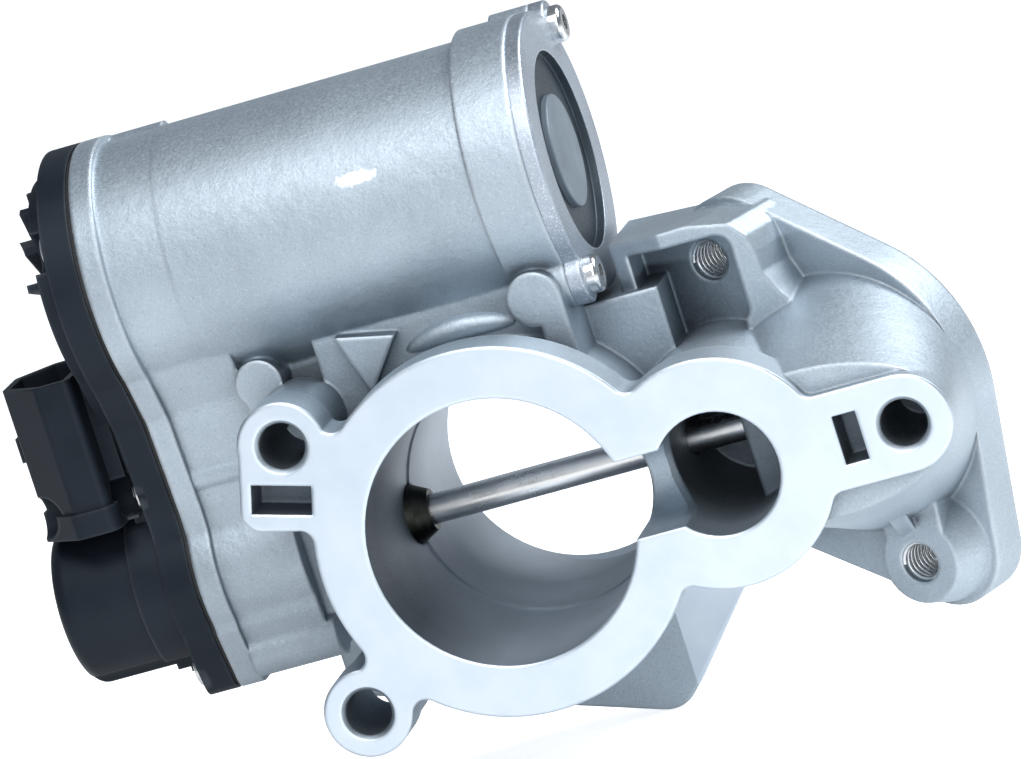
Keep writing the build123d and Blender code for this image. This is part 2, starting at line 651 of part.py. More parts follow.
def windings():
    """Wound end turns, one ring each side of the core, joined through its slots."""
    slots = 9
    near = tube_x(shaft_r + 3.0, armature_r - 1.6, armature_x[0] - 5.0, armature_x[0] - press, *motor_axis)
    far = tube_x(shaft_r + 3.0, armature_r - 1.6, armature_x[1] + press, armature_x[1] + 4.0, *motor_axis)
    body = near + far
    for k in range(slots):
        slot = Pos(*motor_axis) * Rot(0, 0, 360 / slots * k) * Pos(armature_r - 4.6, 0) * Rectangle(4.0, 3.6)
        body += bar_x(slot, armature_x[0] - 1, armature_x[1] + 1)
    return body


def brush_holder():
    body = tube_x(bearing_r + press, can_inner_r - fit, holder_x, holder_x + 2.4, *motor_axis)
    body += tube_x(bearing_r + press, bearing_r + 2.4, holder_x, holder_x + 6.0, *motor_axis)
    for side in (1, -1):
        y = stem_y + side * (commutator_r + 4.6)
        body += Pos(holder_x - 3.4, y, motor_z) * Box(7.0, 7.6, 8.0)
        body -= Pos(holder_x - 4.4, y, motor_z) * Box(6.0, 9.0, 5.0)
    return body


def brushes():
    group = []
    for side in (1, -1):
        y = stem_y + side * (commutator_r + 3.55)
        group.append(Pos(holder_x - 4.4, y, motor_z) * Box(5.9, 6.3, 4.9))
    return Compound([brush - rod_x(commutator_r + air_gap, -10, 30, *motor_axis) for brush in group])


def magnets():
    group = []
    ring = Pos(*motor_axis) * (Circle(can_inner_r - press) - Circle(armature_r + 0.6))
    for side in (1, -1):
        arc = ring & (Pos(stem_y, motor_z + side * 20.0) * Rectangle(32.0, 32.0))
        group.append(bar_x(arc, armature_x[0] - 2.0, armature_x[1] + 2.0))
    return Compound(group)


# Sizes of the inner pieces
pin_count = 6
head_seat_x = rim_x + 1.4
screw_head_h = 2.6
pin_left_x = high_plane[0] - 4.5
shaft_r = 2.5
first_phase = mating_phase(motor_axis, pinion_teeth, 0.0, reduction_axis, first_teeth)
idler_phase = mating_phase(reduction_axis, second_teeth, 0.0, idler_axis, idler_teeth)
second_r = module * second_teeth / 2
cap_spigot = 3.0
cap_seal_x = (barrel_end_x - 2.4, barrel_end_x - 1.0)
armature_r = 15.6
armature_x = (-32.0, -4.0)
can_r = barrel_bore_r - fit
can_inner_r = can_r - 1.4
can_x = (case_floor_x + case_floor_t + 0.6, 15.0)
commutator_r = 7.5
holder_x = 11.0
pinion_x = (high_plane[0] - 0.5, case_floor_x - 1.4)
pin_depth = 3.5

parts["valve_housing"] = housing()
parts["seat_ring"] = seat_ring()
parts["stem_bush"] = stem_bush()
parts["stem_seal"] = stem_seal()
parts["guide_sleeve"] = guide_sleeve()
parts["valve_stem"] = valve_stem()
parts["valve_head"] = valve_head()
parts["cross_pin"] = rod_y(pin_r, stem_y - cam_r + 0.1, stem_y + cam_r - 0.1, pin_x, 0)
parts["cam_rollers"] = rollers()
parts["output_gear"] = barrel_cam()
parts["sensor_magnet"] = tube_x(sleeve_r + 0.4, cam_r, cam_end_x - 1.8, cam_end_x)
parts["return_spring"] = spring()
parts["idler_gear"] = idler_gear()
parts["idler_pin"] = gear_pin(idler_axis, low_plane[0] - 0.3)
parts["reduction_gear"] = reduction_gear()
parts["reduction_pin"] = gear_pin(reduction_axis, pin_left_x)
parts["motor_pinion"] = spur(pinion_teeth, 0.0, motor_axis, pinion_x) - rod_x(
    shaft_r + press, -80, -40, *motor_axis)
parts["motor_shaft"] = rod_x(shaft_r, pinion_x[0] - 1.0, holder_x + 6.0, *motor_axis)
parts["armature_core"] = armature()
parts["armature_windings"] = windings()
parts["commutator"] = tube_x(shaft_r + press, commutator_r, armature_x[1] + 5.0, holder_x - 0.8, *motor_axis)
can = tube_x(can_inner_r, can_r, can_x[0], can_x[1], *motor_axis)
can += tube_x(bearing_r + 2.0, can_r, can_x[0], can_x[0] + 1.4, *motor_axis)
parts["motor_can"] = can
parts["field_magnets"] = magnets()
parts["front_bearing"] = tube_x(shaft_r + fit, bearing_r, case_floor_x, case_floor_x + bearing_w, *motor_axis)
parts["rear_bearing"] = tube_x(shaft_r + fit, bearing_r, holder_x + 1.2, holder_x + 5.6, *motor_axis)
parts["brush_holder"] = brush_holder()
parts["carbon_brushes"] = brushes()
parts["wave_washer"] = tube_x(can_inner_r - 3.2, can_inner_r + 0.6, can_x[1], barrel_end_x - cap_spigot, *motor_axis)
parts["motor_end_cap"] = end_cap()
parts["end_cap_seal"] = tube_x(barrel_bore_r - 1.8 + press, barrel_bore_r - press, cap_seal_x[0] + press,
                               cap_seal_x[1] - press, *motor_axis)
plug = rod_x(plug_r, barrel_end_x + cap_t - cap_recess, barrel_end_x + cap_t - 0.5, *motor_axis)
parts["end_cap_plug"] = fillet(plug.edges().group_by(Axis.X)[-1], 0.4)
parts["end_cap_screws"] = Compound([pan_screw(10.0, y, z, barrel_end_x + cap_t, 1) for y, z in cap_screws_at])
parts["gear_cover"] = cover()
parts["cover_gasket"] = cover_gasket()
parts["cover_screws"] = Compound([pan_screw(14.0, y, z, head_seat_x, -1) for y, z in cover_screws_at])
parts["connector_pins"] = pins()
board = tube_x(4.0, hub_inner_r - press, hub_end_x + hub_wall, hub_end_x + hub_wall + 1.4)
parts["sensor_board"] = board + Pos(hub_end_x + hub_wall + 1.9, stem_y + 7.0, 0) * Box(1.0, 4.0, 5.0)

os.makedirs("parts", exist_ok=True)
for name, shape in parts.items():
    export_step(shape, f"parts/{name}.step")
print(len(parts), "nodes written")
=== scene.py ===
import math

import bpy
from mathutils import Matrix, Vector


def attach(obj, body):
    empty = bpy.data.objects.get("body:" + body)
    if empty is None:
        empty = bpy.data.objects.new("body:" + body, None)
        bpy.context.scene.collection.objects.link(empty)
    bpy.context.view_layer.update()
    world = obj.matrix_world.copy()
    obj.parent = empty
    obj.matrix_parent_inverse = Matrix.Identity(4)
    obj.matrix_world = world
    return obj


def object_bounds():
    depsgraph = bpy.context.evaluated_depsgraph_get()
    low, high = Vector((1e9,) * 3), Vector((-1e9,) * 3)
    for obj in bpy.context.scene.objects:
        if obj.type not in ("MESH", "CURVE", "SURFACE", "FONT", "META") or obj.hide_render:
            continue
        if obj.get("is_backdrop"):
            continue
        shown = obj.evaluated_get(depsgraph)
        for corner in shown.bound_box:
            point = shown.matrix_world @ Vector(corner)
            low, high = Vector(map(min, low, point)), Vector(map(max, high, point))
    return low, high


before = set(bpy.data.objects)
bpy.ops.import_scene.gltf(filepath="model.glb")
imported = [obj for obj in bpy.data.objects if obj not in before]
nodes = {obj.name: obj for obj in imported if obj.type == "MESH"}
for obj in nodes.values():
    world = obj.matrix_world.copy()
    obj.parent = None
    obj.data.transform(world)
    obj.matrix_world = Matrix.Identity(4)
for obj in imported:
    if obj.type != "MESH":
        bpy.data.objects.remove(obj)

# An electric exhaust gas recirculation valve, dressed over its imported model.
# Metres throughout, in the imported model's own frame: the origin is the centre
# of the air bore on the machined face, +X runs along the stem, +Z is up.


# Camera
# It looks at the machined face from a little to the right and above, from
# 1.5 m away, and is rolled because the valve was photographed lying tilted.
mm = 0.001
azimuth = math.radians(13.71)
elevation = math.radians(9.69)
roll = math.radians(17.8)
distance = 1.5
pixels_per_mm = 5.31
origin_pixel = (500.34, 532.9)
image_size = (1024, 759)

back = Vector((math.sin(azimuth) * math.cos(elevation), -math.cos(azimuth) * math.cos(elevation),
               math.sin(elevation)))
level_right = Vector((math.cos(azimuth), math.sin(azimuth), 0))
level_up = back.cross(level_right)
right = level_right * math.cos(roll) - level_up * math.sin(roll)
up = level_right * math.sin(roll) + level_up * math.cos(roll)
shift_x = (origin_pixel[0] - image_size[0] / 2) / pixels_per_mm * mm
shift_y = (image_size[1] / 2 - origin_pixel[1]) / pixels_per_mm * mm
camera_data = bpy.data.cameras.new("camera")
camera_data.sensor_width = 36.0
camera_data.lens = distance / mm * pixels_per_mm / image_size[0] * camera_data.sensor_width
camera_data.clip_end = 20.0
camera = bpy.data.objects.new("camera", camera_data)
bpy.context.scene.collection.objects.link(camera)
axes = Matrix((right, up, back)).transposed().to_4x4()
camera.matrix_world = Matrix.Translation(back * distance - right * shift_x - up * shift_y) @ axes
bpy.context.scene.camera = camera


# Floor and light
# A white paper sweep under the valve, and three white soft boxes around it,
# the strongest of them above and a little in front of the valve.
cad_low, cad_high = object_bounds()
floor_size = 16.0
floor_gap = 0.2 * mm
bpy.ops.mesh.primitive_plane_add(size=floor_size, location=(0, 0, cad_low.z - floor_gap))
floor = bpy.context.object
floor.name = "floor"
floor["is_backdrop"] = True
paper = bpy.data.materials.new("paper")
paper.use_nodes = True
shader = paper.node_tree.nodes["Principled BSDF"]
shader.inputs["Base Color"].default_value = (0.95, 0.95, 0.95, 1)
shader.inputs["Roughness"].default_value = 0.9
shader.inputs["Emission Color"].default_value = (1, 1, 1, 1)
# the paper shows white, and yet lights the valve's underside only a little
lit = paper.node_tree.nodes.new("ShaderNodeLightPath")
dimmed = paper.node_tree.nodes.new("ShaderNodeMapRange")
dimmed.inputs["To Min"].default_value = 0.12
dimmed.inputs["To Max"].default_value = 0.75
paper.node_tree.links.new(lit.outputs["Is Camera Ray"], dimmed.inputs["Value"])
paper.node_tree.links.new(dimmed.outputs[0], shader.inputs["Emission Strength"])
floor.data.materials.append(paper)

# the room beyond: white where it is seen, a dim bluish glow where it lights
world = bpy.data.worlds.new("studio")
bpy.context.scene.world = world
world.use_nodes = True
tree = world.node_tree
tree.nodes.clear()
seen = tree.nodes.new("ShaderNodeBackground")
seen.inputs["Color"].default_value = (1, 1, 1, 1)
seen.inputs["Strength"].default_value = 1.1
glow = tree.nodes.new("ShaderNodeBackground")
glow.inputs["Color"].default_value = (0.80, 0.90, 1.0, 1)
glow.inputs["Strength"].default_value = 0.26
path = tree.nodes.new("ShaderNodeLightPath")
mix = tree.nodes.new("ShaderNodeMixShader")
out = tree.nodes.new("ShaderNodeOutputWorld")
tree.links.new(path.outputs["Is Camera Ray"], mix.inputs[0])
tree.links.new(glow.outputs[0], mix.inputs[1])
tree.links.new(seen.outputs[0], mix.inputs[2])
tree.links.new(mix.outputs[0], out.inputs[0])

valve_middle = Vector((-4.0, 42.0, 15.0)) * mm


def soft_light(name, direction, reach, size, power, colour):
    """Square soft box that faces the valve's middle from a direction in camera axes."""
    towards = (right * direction[0] + up * direction[1] + back * direction[2]).normalized()
    data = bpy.data.lights.new(name, "AREA")
    data.size = size
    data.energy = power
    data.color = colour
    lamp = bpy.data.objects.new(name, data)
    lamp.location = valve_middle + towards * reach
    lamp.rotation_mode = "QUATERNION"
    lamp.rotation_quaternion = towards.to_track_quat("Z", "Y")
    bpy.context.scene.collection.objects.link(lamp)


soft_light("key", (-0.25, 0.6, 0.72), 0.9, 0.55, 4.6, (1.0, 1.0, 1.0))
soft_light("front", (-0.12, 0.05, 1.0), 1.3, 0.6, 3.0, (0.95, 0.98, 1.0))
soft_light("top", (0.5, 1.0, 0.08), 0.9, 0.5, 6.5, (0.97, 0.99, 1.0))


# Valve housing
# One aluminium casting that carries every other piece. It is blasted all over
# to a grey, finely grained skin, worn bright along its edges where a painted
# highlight is laid too, and painted darker in its hollows as shade. Its flange
# faces and the air bore are machined, and paler.
def put(tree, kind, links=None, **values):
    """Add a node, set its plain properties, and feed its inputs from sockets or numbers."""
    node = tree.nodes.new(kind)
    for key, value in values.items():
        setattr(node, key, value)
    for key, value in (links or {}).items():
        if isinstance(value, bpy.types.NodeSocket):
            tree.links.new(value, node.inputs[key])
        else:
            node.inputs[key].default_value = value
    return node


def use(tree, effect, **links):
    """Place a node group in a material."""
    return put(tree, "ShaderNodeGroup", links, node_tree=effect)


def start(name, metallic=0.0, **constants):
    """A material with its shader's constants on its own sockets: itself, its tree, its shader, the place."""
    made = bpy.data.materials.new(name)
    made.use_nodes = True
    tree = made.node_tree
    shader = tree.nodes["Principled BSDF"]
    shader.inputs["Metallic"].default_value = metallic
    for key, value in constants.items():
        shader.inputs[key.replace("_", " ")].default_value = value
    place = tree.nodes.new("ShaderNodeTexCoord").outputs["Object"]
    return made, tree, shader, place


def blend(tree, fac, low, high):
    """Colour between two fixed colours or sockets."""
    node = put(tree, "ShaderNodeMix", {"Factor": fac}, data_type="RGBA")
    for key, value in (("A", low), ("B", high)):
        socket = [s for s in node.inputs if s.name == key and s.type == "RGBA"][0]
        if isinstance(value, bpy.types.NodeSocket):
            tree.links.new(value, socket)
        else:
            socket.default_value = (*value, 1)
    return [s for s in node.outputs if s.type == "RGBA"][0]


def span(tree, value, low, high, to_low=0.0, to_high=1.0):
    """Value carried over from one range to another, and held at its ends."""
    return put(tree, "ShaderNodeMapRange", {"Value": value, "From Min": low, "From Max": high,
                                            "To Min": to_low, "To Max": to_high}).outputs["Result"]


def sums(tree, operation, a, b=0.0):
    """One step of arithmetic."""
    return put(tree, "ShaderNodeMath", {0: a, 1: b}, operation=operation).outputs[0]


def both(tree, first, *others):
    """Masks multiplied with each other."""
    for other in others:
        first = sums(tree, "MULTIPLY", first, other)
    return first


def apart(tree, a, b):
    """Length of a vector with these two parts."""
    return sums(tree, "SQRT", sums(tree, "ADD", sums(tree, "MULTIPLY", a, a), sums(tree, "MULTIPLY", b, b)))


def bump(tree, shader, height, strength, depth, under=None):
    """Relief on the shader's normal, over another normal if one is given."""
    links = {"Height": height, "Strength": strength, "Distance": depth}
    if under is not None:
        links["Normal"] = under
    node = put(tree, "ShaderNodeBump", links)
    tree.links.new(node.outputs["Normal"], shader.inputs["Normal"])


def convex_edges(tree, reach, low, high):
    """0 on flats and 1 on outer edges, from how soon rays that start inwards leave the solid."""
    inwards = put(tree, "ShaderNodeAmbientOcclusion", {"Distance": reach},
                  samples=6, inside=True, only_local=True)
    return span(tree, inwards.outputs["AO"], high, low)


def openness(tree, reach):
    """1 in the open, less in hollows and inner corners."""
    return put(tree, "ShaderNodeAmbientOcclusion", {"Distance": reach},
               samples=6, only_local=True).outputs["AO"]


def group(name, inputs, outputs):
    """An effect that several materials share: its tree, its input node, its output node."""
    tree = bpy.data.node_groups.new(name, "ShaderNodeTree")
    for label, kind, value in inputs:
        socket = tree.interface.new_socket(label, in_out="INPUT", socket_type=kind)
        if value is not None:
            socket.default_value = value
    for label, kind in outputs:
        tree.interface.new_socket(label, in_out="OUTPUT", socket_type=kind)
    return tree, tree.nodes.new("NodeGroupInput"), tree.nodes.new("NodeGroupOutput")


FLOAT, VECTOR = "NodeSocketFloat", "NodeSocketVector"

# fine cast or blasted grain, with sparse bright and dark specks that each
# come from their own part of the noise
grain, g_in, g_out = group("cast_grain", [("Vector", VECTOR, None), ("Scale", FLOAT, 1400.0)],
                           [("Height", FLOAT), ("Bright", FLOAT), ("Dark", FLOAT)])
fine = put(grain, "ShaderNodeTexNoise", {"Vector": g_in.outputs["Vector"], "Scale": g_in.outputs["Scale"],
                                         "Detail": 5.0, "Roughness": 0.65})
grain.links.new(fine.outputs["Fac"], g_out.inputs["Height"])
for label, finer, low, high in (("Bright", 2.1, 0.56, 0.72), ("Dark", 1.7, 0.58, 0.74)):
    own_place = (low, high, finer)
    scaled = put(grain, "ShaderNodeMath", {0: g_in.outputs["Scale"], 1: finer}, operation="MULTIPLY")
    moved = put(grain, "ShaderNodeVectorMath", {0: g_in.outputs["Vector"], 1: own_place}, operation="ADD")
    noise = put(grain, "ShaderNodeTexNoise", {"Vector": moved.outputs[0], "Scale": scaled.outputs[0],
                                              "Detail": 2.0, "Roughness": 0.5})
    grain.links.new(span(grain, noise.outputs["Fac"], low, high), g_out.inputs[label])

# slow cloudy variation between 0 and 1
cloud, c_in, c_out = group("cloud", [("Vector", VECTOR, None), ("Scale", FLOAT, 40.0)], [("Fac", FLOAT)])
slow = put(cloud, "ShaderNodeTexNoise", {"Vector": c_in.outputs["Vector"], "Scale": c_in.outputs["Scale"],
                                         "Detail": 4.0, "Roughness": 0.55})
cloud.links.new(span(cloud, slow.outputs["Fac"], 0.32, 0.68), c_out.inputs["Fac"])

# lines of a tool: noise stretched strongly along one axis
brush, b_in, b_out = group("tool_lines", [("Vector", VECTOR, None), ("Across", VECTOR, (1.0, 1.0, 1.0))],
                           [("Fac", FLOAT)])
squeezed = put(brush, "ShaderNodeVectorMath", {0: b_in.outputs["Vector"], 1: b_in.outputs["Across"]},
               operation="MULTIPLY")
lines = put(brush, "ShaderNodeTexNoise", {"Vector": squeezed.outputs[0], "Scale": 1.0, "Detail": 4.0,
                                          "Roughness": 0.6})
brush.links.new(lines.outputs["Fac"], b_out.inputs["Fac"])


def dress(finish, *pieces):
    """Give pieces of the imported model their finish."""
    for name in pieces:
        nodes[name].data.materials.clear()
        nodes[name].data.materials.append(finish)


# the housing's own sizes: motor barrel, air bore, gas port and exhaust flange
barrel_y, barrel_z, barrel_radius = 41.0 * mm, 60.6 * mm, 26.4 * mm
barrel_fade = 1.0 * mm
bore_radius = 26.15 * mm
pipe_length = 83.0 * mm
port_x, port_radius, port_width = 43.3 * mm, 13.5 * mm, 12.1 * mm
port_left, port_right = 30.0 * mm, 58.0 * mm
flange_turn = math.radians(66)
flange_normal = Vector((math.cos(flange_turn), math.sin(flange_turn), 0))
flange_middle = Vector((63.5, 48.6, 0)) * mm
machined_depth = 0.06 * mm
edge_round = 1.2 * mm
edge_wear = 1.5 * mm
hollow_reach = 12.0 * mm

cast, tree, shader, place = start("cast_aluminium", metallic=1.0)
xyz = put(tree, "ShaderNodeSeparateXYZ", {0: place})
x, y, z = xyz.outputs
skin = use(tree, grain, Vector=place, Scale=1500.0)
clouds = use(tree, cloud, Vector=place, Scale=38.0)
grey = blend(tree, clouds.outputs[0], (0.46, 0.53, 0.59), (0.57, 0.645, 0.715))
grey = blend(tree, sums(tree, "MULTIPLY", skin.outputs["Bright"], 0.35), grey, (0.86, 0.91, 0.97))
grey = blend(tree, sums(tree, "MULTIPLY", skin.outputs["Dark"], 0.35), grey, (0.25, 0.29, 0.34))
# convex edges paler: partly real wear, partly a painted highlight where the edges catch the light
worn_and_highlit_edges = both(tree, convex_edges(tree, edge_wear, 0.45, 0.85),
            span(tree, clouds.outputs[0], 0.1, 0.9, 0.15, 0.55))
grey = blend(tree, worn_and_highlit_edges, grey, (0.88, 0.92, 0.96))

# painted shade in the hollows, less of it on the motor barrel
off_axis = apart(tree, sums(tree, "SUBTRACT", y, barrel_y), sums(tree, "SUBTRACT", z, barrel_z))
painted_hollow_shade = both(tree, span(tree, openness(tree, hollow_reach), 0.15, 0.85, 0.85, 0.0),
            span(tree, off_axis, barrel_radius, barrel_radius + barrel_fade, 0.2, 1.0))
grey = blend(tree, painted_hollow_shade, grey, (0.10, 0.12, 0.145))

# a scuff on the barrel, long along the motor's axis, with a ragged outline
scuff_middle = (-10.2 * mm, 16.9 * mm, 70.0 * mm)
scuff_stretch = (225.0, 150.0, 760.0)
from_scuff = put(tree, "ShaderNodeVectorMath", {0: place, 1: scuff_middle}, operation="SUBTRACT")
oval = put(tree, "ShaderNodeVectorMath", {0: from_scuff.outputs[0], 1: scuff_stretch}, operation="MULTIPLY")
oval = put(tree, "ShaderNodeVectorMath", {0: oval.outputs[0]}, operation="LENGTH")
ragged = put(tree, "ShaderNodeTexNoise", {"Vector": place, "Scale": 620.0, "Detail": 4.0, "Roughness": 0.7})
outline = sums(tree, "ADD", oval.outputs["Value"], sums(tree, "MULTIPLY", ragged.outputs["Fac"], 1.3))
grey = blend(tree, span(tree, outline, 1.75, 1.45), grey, (0.90, 0.92, 0.93))

# painted shade, darker towards the bottom of the gear case
case_low_shade = both(tree, span(tree, z, 22.0 * mm, -30.0 * mm, 0.0, 0.5),
                 span(tree, x, -26.0 * mm, -32.0 * mm, 0.0, 1.0))
grey = blend(tree, case_low_shade, grey, (0.20, 0.235, 0.27))

# the bored wall of the air pipe, with lines of the tool round it and painted
# shade on its left, darker towards the front
bored = sums(tree, "LESS_THAN", apart(tree, x, z), bore_radius)
turning = use(tree, brush, Vector=place, Across=(120.0, 2600.0, 120.0))
bore_tone = sums(tree, "ADD", sums(tree, "MULTIPLY", clouds.outputs[0], 0.7),
                 sums(tree, "MULTIPLY", turning.outputs[0], 0.3))
bore_grey = blend(tree, bore_tone, (0.42, 0.47, 0.53), (0.62, 0.68, 0.75))
bore_left_shade = both(tree, span(tree, y, 10.0 * mm, 60.0 * mm, 0.92, 0.1),
                 span(tree, x, -22.0 * mm, -8.0 * mm, 1.0, 0.0))
bore_grey = blend(tree, bore_left_shade, bore_grey, (0.12, 0.14, 0.16))
colour = blend(tree, bored, grey, bore_grey)

# painted shade in the depth of the gas port, which is cast and dull
in_port = both(tree, sums(tree, "GREATER_THAN", x, port_left), sums(tree, "LESS_THAN", x, port_right),
               sums(tree, "LESS_THAN", sums(tree, "ABSOLUTE", z), port_width),
               sums(tree, "LESS_THAN", apart(tree, sums(tree, "SUBTRACT", x, port_x), z), port_radius))
port_depth_shade = both(tree, in_port, span(tree, y, 9.0 * mm, 24.0 * mm, 0.0, 0.85))
colour = blend(tree, port_depth_shade, colour, (0.15, 0.175, 0.20))

# the machined faces: the front, the rear and the exhaust flange
front_face = sums(tree, "LESS_THAN", y, machined_depth)
rear_face = sums(tree, "GREATER_THAN", y, pipe_length - machined_depth)
along_normal = put(tree, "ShaderNodeVectorMath", {0: place, 1: flange_normal}, operation="DOT_PRODUCT")
flange_face = sums(tree, "GREATER_THAN", along_normal.outputs["Value"],
                   flange_middle.dot(flange_normal) - machined_depth)
machined = sums(tree, "MAXIMUM", sums(tree, "MAXIMUM", front_face, rear_face), flange_face)
fine_clouds = use(tree, cloud, Vector=place, Scale=90.0)
pale = blend(tree, fine_clouds.outputs[0], (0.72, 0.81, 0.91), (0.80, 0.88, 0.97))
tree.links.new(blend(tree, machined, colour, pale), shader.inputs["Base Color"])

rough = span(tree, skin.outputs["Height"], 0.3, 0.7, 0.46, 0.62)
rough = sums(tree, "SUBTRACT", rough, sums(tree, "MULTIPLY", machined, 0.14))
tree.links.new(rough, shader.inputs["Roughness"])
dents = put(tree, "ShaderNodeTexNoise", {"Vector": place, "Scale": 330.0, "Detail": 3.0, "Roughness": 0.6})
relief = sums(tree, "ADD", skin.outputs["Height"], sums(tree, "MULTIPLY", dents.outputs["Fac"], 2.2))
as_cast = sums(tree, "SUBTRACT", 1.0, sums(tree, "MAXIMUM", machined, sums(tree, "MULTIPLY", bored, 0.8)))
rounded_edges = put(tree, "ShaderNodeBevel", {"Radius": edge_round}, samples=8)
bump(tree, shader, both(tree, relief, as_cast), 0.5, 0.10 * mm, rounded_edges.outputs[0])
dress(cast, "valve_housing")


# Bead between barrel and ring
# A soft cast roll of the housing's own metal that fills the corner above the
# air bore's ring, arched the way the ring is.
bead_middle = Vector((-1.5, 24.6, 34.2)) * mm
bead_half = Vector((11.5, 2.6, 2.5)) * mm
bead_arch = 1.6 * mm
bpy.ops.object.select_all(action="DESELECT")
bpy.ops.mesh.primitive_uv_sphere_add(segments=48, ring_count=24, radius=1.0, location=(0, 0, 0))
bead = bpy.context.object
bead.name = "cast_bead"
for vertex in bead.data.vertices:
    along, outwards, over = vertex.co
    vertex.co = (along * bead_half.x + bead_middle.x, outwards * bead_half.y + bead_middle.y,
                 over * bead_half.z + (1 - along ** 2) * bead_arch + bead_middle.z)
bpy.ops.object.shade_smooth()
bead.data.materials.append(cast)
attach(bead, "housing")


# Threads of the exhaust flange
# The two M8 holes are tapped through the flange, and their flanks are cut
# bright, with painted shade in the roots between them. Each ridge stands in
# from the drilled wall by the depth of the thread.
thread_radius, thread_pitch, thread_depth = 4.0 * mm, 1.25 * mm, 0.62 * mm
thread_turns = 11
thread_start = 14.4 * mm
ridge_corners, ridge_steps = 12, 36
ridge_half = 0.40  # of the pitch
ridge_foot = 0.08  # of the depth, behind the wall
hole_aside, hole_above = 13.0 * mm, 32.7 * mm


def coil(name, radius, pitch, turns, depth):
    """Inner ridge of a thread, wound round Z from z = 0 upwards."""
    bpy.ops.object.select_all(action="DESELECT")
    bpy.ops.mesh.primitive_circle_add(vertices=ridge_corners, radius=1.0, location=(0, 0, 0))
    ridge = bpy.context.object
    ridge.name = name
    for vertex in ridge.data.vertices:
        inwards, along, _ = vertex.co
        vertex.co = (radius + min(inwards, ridge_foot) * depth, 0, along * ridge_half * pitch)
    wind = ridge.modifiers.new("wind", "SCREW")
    wind.axis = "Z"
    wind.screw_offset = pitch
    wind.iterations = turns
    wind.steps = ridge_steps
    wind.render_steps = ridge_steps
    wind.use_smooth_shade = True
    bpy.ops.object.modifier_apply(modifier=wind.name)
    bpy.ops.object.mode_set(mode="EDIT")
    bpy.ops.mesh.select_all(action="SELECT")
    bpy.ops.mesh.normals_make_consistent(inside=False)
    bpy.ops.object.mode_set(mode="OBJECT")
    return ridge


cut_thread, tree, shader, place = start("cut_thread", metallic=1.0)
tool = use(tree, brush, Vector=place, Across=(900.0, 900.0, 900.0))
bright = blend(tree, tool.outputs[0], (0.60, 0.63, 0.65), (0.86, 0.88, 0.90))
# painted shade: the closed-in roots between the ridges are coloured nearly black
shade_in_roots = span(tree, openness(tree, 1.6 * mm), 0.25, 0.75)
tree.links.new(blend(tree, shade_in_roots, (0.03, 0.035, 0.04), bright), shader.inputs["Base Color"])
tree.links.new(span(tree, tool.outputs[0], 0.3, 0.7, 0.24, 0.4), shader.inputs["Roughness"])
flange_left = Vector((-flange_normal.y, flange_normal.x, 0))
for name, side in (("thread_upper", 1), ("thread_lower", -1)):
    thread = coil(name, thread_radius, thread_pitch, thread_turns, thread_depth)
    foot = flange_middle + side * (flange_left * hole_aside + Vector((0, 0, hole_above)))
    foot = foot - flange_normal * thread_start
    turn = flange_normal.to_track_quat("Z", "Y").to_matrix().to_4x4()
    thread.data.transform(Matrix.Translation(foot) @ turn)
    thread.data.materials.append(cut_thread)
    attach(thread, "housing")


# Motor end cap
# A smaller casting of the same alloy, held on the barrel by two screws. Its
# recess is coloured dull and dark around the grey plug that closes it.
recess_radius, recess_floor = 19.65 * mm, 25.9 * mm
cap_metal, tree, shader, place = start("cap_aluminium", metallic=1.0)
skin = use(tree, grain, Vector=place, Scale=1500.0)
clouds = use(tree, cloud, Vector=place, Scale=45.0)
grey = blend(tree, clouds.outputs[0], (0.42, 0.47, 0.54), (0.54, 0.60, 0.68))
grey = blend(tree, skin.outputs["Bright"], grey, (0.86, 0.89, 0.92))
xyz = put(tree, "ShaderNodeSeparateXYZ", {0: place})
x, y, z = xyz.outputs
off_axis = apart(tree, sums(tree, "SUBTRACT", y, barrel_y), sums(tree, "SUBTRACT", z, barrel_z))
in_recess = both(tree, sums(tree, "LESS_THAN", off_axis, recess_radius),
                 sums(tree, "LESS_THAN", x, recess_floor))
# the recess is coloured a dark blue-grey
dark_recess = blend(tree, clouds.outputs[0], (0.075, 0.095, 0.115), (0.125, 0.15, 0.175))
tree.links.new(blend(tree, in_recess, grey, dark_recess), shader.inputs["Base Color"])
tree.links.new(span(tree, skin.outputs["Height"], 0.3, 0.7, 0.38, 0.55), shader.inputs["Roughness"])
rounded_edges = put(tree, "ShaderNodeBevel", {"Radius": 0.5 * mm}, samples=6)
bump(tree, shader, skin.outputs["Height"], 0.4, 0.08 * mm, rounded_edges.outputs[0])
dress(cap_metal, "motor_end_cap")


def moulded(name, low, high, rough_low, rough_high, metallic=0.0):
    """Moulded, pressed or coated matter: fine grain over a slow variation."""
    made, tree, shader, place = start(name, metallic=metallic)
    skin = use(tree, grain, Vector=place, Scale=1700.0)
    clouds = use(tree, cloud, Vector=place, Scale=90.0)
    tree.links.new(blend(tree, clouds.outputs[0], low, high), shader.inputs["Base Color"])
    tree.links.new(span(tree, skin.outputs["Height"], 0.3, 0.7, rough_low, rough_high),
                   shader.inputs["Roughness"])
    bump(tree, shader, skin.outputs["Height"], 0.4, 0.04 * mm)
    return made


plug_grey = moulded("plug_grey", (0.17, 0.215, 0.26), (0.24, 0.29, 0.34), 0.42, 0.56, metallic=0.3)
dress(plug_grey, "end_cap_plug")


